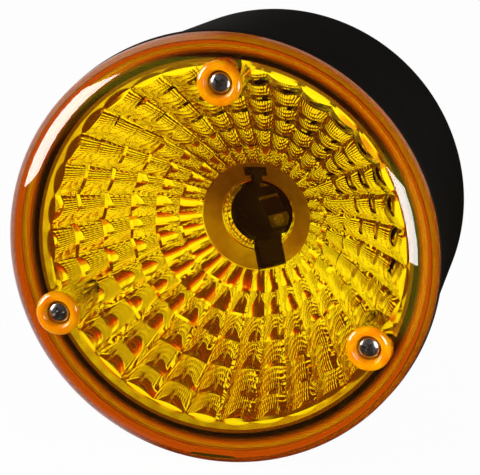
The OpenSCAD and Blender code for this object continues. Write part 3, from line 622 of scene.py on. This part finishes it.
def housing():
    """The can turned from its section, with pillars, ribs, bosses and a pad joined, and its holes cut. A rib
    runs from its pillar to the middle of the wall at each height."""
    pillar = rod(PILLAR_R, ROOT_Z, TOWER_Z - TOWER_CAP - SEAT_GAP, 64)
    corners, faces = prism([(0, -RIB_HALF), (1, -RIB_HALF), (1, RIB_HALF), (0, RIB_HALF)], ROOT_Z, LAND_Z - 1)
    corners[:, 0] *= inner_wall(corners[:, 2]) + WALL / 2 - SCREW_CIRCLE
    rib = corners + [SCREW_CIRCLE, 0, 0], faces
    boss = rod(INSERT_R + BOSS_WALL, ROOT_Z, INSERT_L + BOSS_WALL, 64)
    pad = prism([(BLOCK_PAD_IN, -BLOCK_PAD_HALF), (BLOCK_PAD_OUT, -BLOCK_PAD_HALF),
                 (BLOCK_PAD_OUT, BLOCK_PAD_HALF), (BLOCK_PAD_IN, BLOCK_PAD_HALF)], ROOT_Z, BLOCK_PAD_TOP)
    pilot = rod(CLEAR_R, HEAD_Z - SHANK_L - PAST, TOWER_Z, 48)
    pocket = rod(INSERT_R + SEAT_GAP, -PAST, INSERT_L + SEAT_GAP, 64)
    inlet = turned([(0, -PAST), (INLET_SEAT_R, -PAST), (INLET_SEAT_R, INLET_SEAT_Z), (INLET_R, INLET_SEAT_Z),
                    (INLET_R, BACK_T + PAST), (0, BACK_T + PAST)], 96)
    block_hole = rod(BLOCK_HOLE_R, ROOT_Z, BLOCK_HOLE_TOP, 32)
    steps = []
    for angle in SCREW_ANGLES:
        steps += [("UNION", moved(pillar, SCREW_CIRCLE, angle)), ("UNION", moved(rib, turn=angle))]
    steps += [("UNION", moved(boss, INSERT_CIRCLE, a)) for a in INSERT_ANGLES]
    steps += [("UNION", moved(pad, turn=HOLDER_TURN))]
    steps += [("DIFFERENCE", moved(pilot, SCREW_CIRCLE, a)) for a in SCREW_ANGLES]
    steps += [("DIFFERENCE", moved(pocket, INSERT_CIRCLE, a)) for a in INSERT_ANGLES]
    steps += [("DIFFERENCE", moved(inlet, *INLET)),
              ("DIFFERENCE", moved(block_hole, BLOCK_HOLE_CIRCLE, HOLDER_TURN))]
    obj = shaped("housing_can", turned(housing_profile(), 288), steps)
    dress(obj, BLACK, "lamp_base", ["housing"], 30)


# Small pieces

def lens_screw(name, angle, recess_turn):
    """Pan-head screw: rings from tip to crown, with a helical ridge on the shank, and a tapered cross recess
    cut, whose outline is one arm's corner points turned four times by a quarter."""
    segments, run_in, ridge_half, thread_top, taper = 48, 1.2, 0.26, -0.9, 0.5
    z = np.linspace(TIP_L - SHANK_L, thread_top, 190)[:, None]
    phase = np.mod(z / SCREW_PITCH - np.arange(segments) / segments, 1)
    fade = np.clip((z + SHANK_L - TIP_L) / run_in, 0, 1)
    ridge = np.clip(1 - np.abs(phase - 0.5) / ridge_half, 0, 1) * fade
    tip = [(0, -SHANK_L), (0.35, 0.2 - SHANK_L), (0.9, 1.0 - SHANK_L)]
    head = np.vstack([
        [(CORE_R + 0.1, -0.5), (SHANK_R - 0.05, 0), (HEAD_R - 0.15, 0), (HEAD_R, 0.15)],
        arc((0, HEAD_H / 2), (HEAD_R, HEAD_H / 2), 0, 88, 18), [(0, HEAD_H)]])
    rings = np.concatenate([
        profile_rings(tip, segments),
        carried_round(CORE_R + (SHANK_R - 0.02 - CORE_R) * ridge, z, segments),
        profile_rings(head, segments)])
    arm = np.array([(RECESS_REACH, -RECESS_HALF), (RECESS_REACH, RECESS_HALF), (RECESS_HALF, RECESS_HALF)])
    quarter = np.array([[0, 1], [-1, 0]])
    cross = np.vstack([arm @ np.linalg.matrix_power(quarter, k) for k in range(4)])
    top = HEAD_Z + HEAD_H
    points, faces = prism(cross, top - RECESS_DEPTH, top + LOOSE)
    points[:len(cross), :2] *= taper
    obj = shaped(name + "_lens_screw", moved(skin(rings + [0, 0, HEAD_Z]), SCREW_CIRCLE, angle),
                 [("DIFFERENCE", moved((points, faces), SCREW_CIRCLE, angle, recess_turn))])
    dress(obj, STEEL, name + "_screw", ["lens_screw_" + name], 30)


def threaded_inserts():
    """Three brass bushes: a grooved outside, and a bore whose radius rises and falls along a helix."""
    segments, mid, waist, end, chamfer = 64, INSERT_L / 2, INSERT_R - INSERT_GROOVE, 0.5, 0.2
    z = np.linspace(INSERT_L - end, end, 120)[:, None]
    ridge = np.abs(np.mod(z / INSERT_PITCH - np.arange(segments) / segments, 1) * 2 - 1)
    run_in = np.clip((z - 0.3) / 0.6, 0, 1)
    outside = [(INSERT_THREAD_R + 0.25, 0), (INSERT_R - chamfer, 0), (INSERT_R, chamfer),
               (INSERT_R, mid - 0.9), (waist, mid - 0.5), (waist, mid + 0.5), (INSERT_R, mid + 0.9),
               (INSERT_R, INSERT_L), (INSERT_THREAD_R + chamfer, INSERT_L)]
    rings = np.concatenate([
        profile_rings(outside, segments),
        carried_round(INSERT_THREAD_R - INSERT_THREAD_DEPTH * ridge * run_in, z, segments)])
    obj = solid("threaded_inserts", copies(skin(rings, True), INSERT_CIRCLE, INSERT_ANGLES))
    dress(obj, BRASS, "lamp_base", ["mounting_inserts"], 30)


def inlet_grommet():
    """Rubber grommet: a section with rounded flanges on both sides of the back plate, turned round the
    inlet."""
    bore, waist, flange = 3.4, INLET_R - SEAT_GAP, INLET_SEAT_R - SEAT_GAP
    seat, inside, collar_z = INLET_SEAT_Z - SEAT_GAP, BACK_T + SEAT_GAP, 4.6
    bore_round, flange_round, collar_round = 0.8, 0.5, 1.0
    section = np.vstack([
        arc((bore + bore_round, bore_round + SEAT_GAP), (bore_round, bore_round), 180, 270, 6),
        arc((flange - flange_round, flange_round + SEAT_GAP), (flange_round, flange_round), -90, 0, 6),
        [(flange, seat), (waist, seat), (waist, inside), (flange, inside)],
        arc((flange - collar_round, BACK_T + 0.8), (collar_round, collar_round), 0, 60, 5),
        arc((bore + 0.9, collar_z), (bore_round, bore_round), 90, 180, 6)])
    obj = solid("inlet_grommet", moved(turned(section, 96, True), *INLET))
    dress(obj, RUBBER, "lamp_base", ["cable_grommet"], 40)


def seal_ring():
    """Gasket in the housing's groove: a flat strip whose top carries rounded ribs, by 1 - |cos| of the
    radius, turned round the axis."""
    rib_pitch, rib_depth, edge, rib_foot = 0.9, 0.35, 0.15, 0.5
    low, high = GROOVE_Z + SEAT_GAP, SEAT_Z - SEAT_GAP
    inside, outside = GROOVE_IN + SEAT_GAP, GROOVE_OUT - SEAT_GAP
    r = np.linspace(outside - edge, inside + edge, 81)
    ribs = high - rib_depth * (1 - np.abs(np.cos(math.pi * (r - inside) / rib_pitch)))
    section = np.vstack([
        [(inside, low), (outside, low), (outside, high - rib_foot)],
        np.column_stack([r, ribs]), [(inside, high - rib_foot)]])
    obj = solid("seal_ring", turned(section, 288, True))
    dress(obj, SEAL, "lamp_base", ["lens_gasket"], 40)


lens_cap()
screw_rings()
reflector()
housing()
for screw in zip(SCREW_NAMES, SCREW_ANGLES, RECESS_TURNS):
    lens_screw(*screw)
threaded_inserts()
inlet_grommet()
seal_ring()

for part in frame["record"]["subparts"]:
    node = frame["nodes"][part["node"]]
    node.data.materials.clear()
    node.data.materials.append(SLOT_FINISH[part["material_slot"]])


# Studio, in metres in the shared frame: x right, y back, z up

def seen_directly(tree):
    """One for rays from the camera and for those mirrored or passed on by metal and glass, else nothing."""
    path = put(tree, "LightPath").outputs
    mirrored = put(tree, "Math", {0: path["Is Camera Ray"], 1: path["Is Glossy Ray"]}, operation="MAXIMUM")
    return put(tree, "Math", {0: mirrored.outputs[0], 1: path["Is Transmission Ray"]},
               operation="MAXIMUM").outputs[0]


def pale_floor():
    """A wide pale sheet just under the lamp; it stays nearly white to the camera and keeps a soft shadow."""
    half, low, white_share = 4.0, cad_box[0].z - 0.0003, 0.97
    material, tree, at = blank("pale_studio_floor")
    matt = put(tree, "BsdfDiffuse", {"Color": mottled(tree, at, 40, 2.0, "#f4f4f2", "#fafaf9")})
    glow = put(tree, "Emission", {"Color": linear("#ffffff"), "Strength": 1.0})
    share = put(tree, "Math", {0: seen_directly(tree), 1: white_share}, operation="MULTIPLY")
    both = put(tree, "MixShader", {0: share.outputs[0], 1: matt.outputs[0], 2: glow.outputs[0]})
    finish_surface(tree, both.outputs[0])
    mesh = bpy.data.meshes.new("floor")
    corners = [(-half, -half, low), (half, -half, low), (half, half, low), (-half, half, low)]
    mesh.from_pydata(corners, [], [(0, 1, 2, 3)])
    mesh.materials.append(material)
    floor = bpy.data.objects.new("floor", mesh)
    bpy.context.scene.collection.objects.link(floor)


def stepped(tree, steps, level=1.0):
    """A level times smooth steps, each a value, where its step starts and ends, and the share before and
    after it."""
    for value, start, end, before, after in steps:
        share = put(tree, "MapRange", {
            "Value": value, "From Min": start, "From Max": end, "To Min": before, "To Max": after},
            interpolation_type="SMOOTHSTEP")
        level = put(tree, "Math", {0: level, 1: share.outputs[0]}, operation="MULTIPLY").outputs[0]
    return level


def tent_cloth(centre):
    """Glowing cloth whose colour depends on the direction from the tent's centre. In front are a pale canopy
    above the lens and a panel on each side, red where they are dim, in full for rays that glass passes on and
    faint for mirrored ones. The rest is dark red-brown in front and red behind to passed-on rays. To mirrored
    rays it is dark brown, but pale behind to the left."""
    brightest, mirrored_share = 1.27, 0.03
    material, tree, at = blank("tent_cloth")
    away = put(tree, "VectorMath", {0: at, 1: centre}, operation="SUBTRACT")
    way = put(tree, "VectorMath", {0: away.outputs[0]}, operation="NORMALIZE")
    x, back, up = put(tree, "SeparateXYZ", {0: way.outputs[0]}).outputs
    passed_on = put(tree, "LightPath").outputs["Is Transmission Ray"]

    canopy = stepped(tree, [(up, -0.08, 0.02, 0, 1), (up, 0.44, 0.72, 1, 0),
                            (x, 0.05, 0.36, 1.7, 0.85), (x, -0.6, -0.3, 0.5, 1)])
    right = stepped(tree, [(x, 0.4, 0.58, 0, 1), (up, -0.66, -0.4, 0, 1), (up, 0.1, 0.4, 1.18, 0)])
    left = stepped(tree, [(x, -0.5, -0.3, 0.7, 0), (up, 0.1, 0.35, 0, 1), (up, 0.6, 0.8, 1, 0)])
    sides = put(tree, "Math", {0: right, 1: left}, operation="ADD")
    panels = put(tree, "Math", {0: canopy, 1: sides.outputs[0]}, operation="ADD")
    in_front = stepped(tree, [(back, -0.1, 0.05, 1, 0)], panels.outputs[0])
    level = put(tree, "Math", {0: in_front, 1: brightest}, operation="MINIMUM").outputs[0]
    red = stepped(tree, [(passed_on, 0, 1, mirrored_share, 1)], level)
    others = stepped(tree, [(level, 0.55, 1.25, 0, 1)], red)
    light = put(tree, "CombineXYZ", {0: red, 1: others, 2: others})

    dark = put(tree, "Mix", {
        "Factor": stepped(tree, [(back, -0.1, 0.15, 0, 1)]),
        "A": linear("#733521"), "B": linear("#c4503f")}, data_type="RGBA")
    mirrored = put(tree, "Mix", {
        "Factor": stepped(tree, [(back, 0.0, 0.15, 0, 1), (x, -0.5, -0.2, 0.9, 0)]),
        "A": linear("#3f3227"), "B": linear("#ffffff")}, data_type="RGBA")
    dye = put(tree, "Mix", {"Factor": passed_on, "A": mirrored.outputs[2], "B": dark.outputs[2]},
              data_type="RGBA")
    total = put(tree, "VectorMath", {0: light.outputs[0], 1: dye.outputs[2]}, operation="ADD")
    finish_surface(tree, put(tree, "Emission", {"Color": total.outputs[0], "Strength": 1.0}).outputs[0])
    return material


def dark_tent():
    """A dome of cloth over the lamp, a half circle turned round the upright axis and flattened to a ground
    sheet below. Only mirrored and passed-on rays see it; the camera looks through it."""
    centre, radius, ground = Vector((0, -0.094, 0)), 1.7, cad_box[0].z + 0.0007
    dome = profile_rings(arc((0, 0), (radius, radius), -90, 90, 29), 96)
    points, faces = skin(np.array(centre) + dome)
    points[:, 2] = np.maximum(points[:, 2], ground)
    mesh = bpy.data.meshes.new("dark_tent")
    mesh.from_pydata(points, [], faces)
    mesh.materials.append(tent_cloth(centre))
    tent = bpy.data.objects.new("dark_tent", mesh)
    tent.visible_camera = tent.visible_shadow = tent.visible_diffuse = False
    bpy.context.scene.collection.objects.link(tent)


def softbox(name, towards, distance, size, power, aim=(0, -0.08, 0)):
    """A rectangular lamp in the given direction from its aim, facing it."""
    data = bpy.data.lights.new(name, "AREA")
    data.shape, data.size, data.size_y, data.energy = "RECTANGLE", size[0], size[1], power
    lamp = bpy.data.objects.new(name, data)
    away = Vector(towards).normalized()
    lamp.location = Vector(aim) + away * distance
    lamp.rotation_mode = "QUATERNION"
    lamp.rotation_quaternion = away.to_track_quat("Z", "Y")
    lamp.visible_transmission = False
    bpy.context.scene.collection.objects.link(lamp)


def studio_room():
    """Room light: white to the camera, to metal and to glass, and a weak fill for matt surfaces."""
    world = bpy.data.worlds.new("studio_room")
    bpy.context.scene.world = world
    world.use_nodes = True
    tree = world.node_tree
    tree.nodes.clear()
    level = put(tree, "MapRange", {"Value": seen_directly(tree), "To Min": 0.3, "To Max": 1.0})
    glow = put(tree, "Background", {"Color": linear("#ffffff"), "Strength": level.outputs[0]})
    put(tree, "OutputWorld", {"Surface": glow.outputs[0]})


def photo_camera():
    """Camera on the photograph's line of sight: 15.1 degrees right, 15.4 above, rolled 2 degrees. The
    focal length and the aim's distance from the middle of the lens's seat are in the photograph's pixels."""
    azimuth, elevation, roll = math.radians(15.1), math.radians(15.4), math.radians(2.0)
    distance, sensor_mm = 0.7925, 36.0
    photo_width, focal, aim_right, aim_up = 480, 2500.0, 17.09, 11.62
    spin = Matrix.Rotation(-roll, 3, "Y")
    level = math.cos(elevation)
    back = spin @ Vector((math.sin(azimuth) * level, -math.cos(azimuth) * level, math.sin(elevation)))
    right = spin @ Vector((math.cos(azimuth), math.sin(azimuth), 0))
    up = back.cross(right)
    centre = Vector((0, -SEAT_Z / MM_PER_M, 0))
    place = centre + back * distance
    aim = centre + right * (aim_right * distance / focal) + up * (aim_up * distance / focal)
    axis = (place - aim).normalized()
    side = up.cross(axis).normalized()
    data = bpy.data.cameras.new("photo_camera")
    data.sensor_width, data.lens = sensor_mm, sensor_mm * focal / photo_width
    camera = bpy.data.objects.new("photo_camera", data)
    turn = Matrix((side, axis.cross(side), axis)).transposed()
    camera.matrix_world = Matrix.Translation(place) @ turn.to_4x4()
    bpy.context.scene.collection.objects.link(camera)
    bpy.context.scene.camera = camera


pale_floor()
studio_room()
dark_tent()
softbox("left_softbox", towards=(-0.865, -0.494, 0.089), distance=1.0, size=(0.5, 0.8), power=17)
softbox("rear_fill", towards=(0.2, 0.95, 0.25), distance=1.2, size=(0.9, 0.9), power=0.5)
softbox("right_panel", towards=(0.5, -0.865, -0.05), distance=0.15, size=(0.058, 0.083), power=0.21,
        aim=(0.0604, -0.0901, 0.019))
photo_camera()
bpy.context.scene.view_settings.view_transform = "Standard"
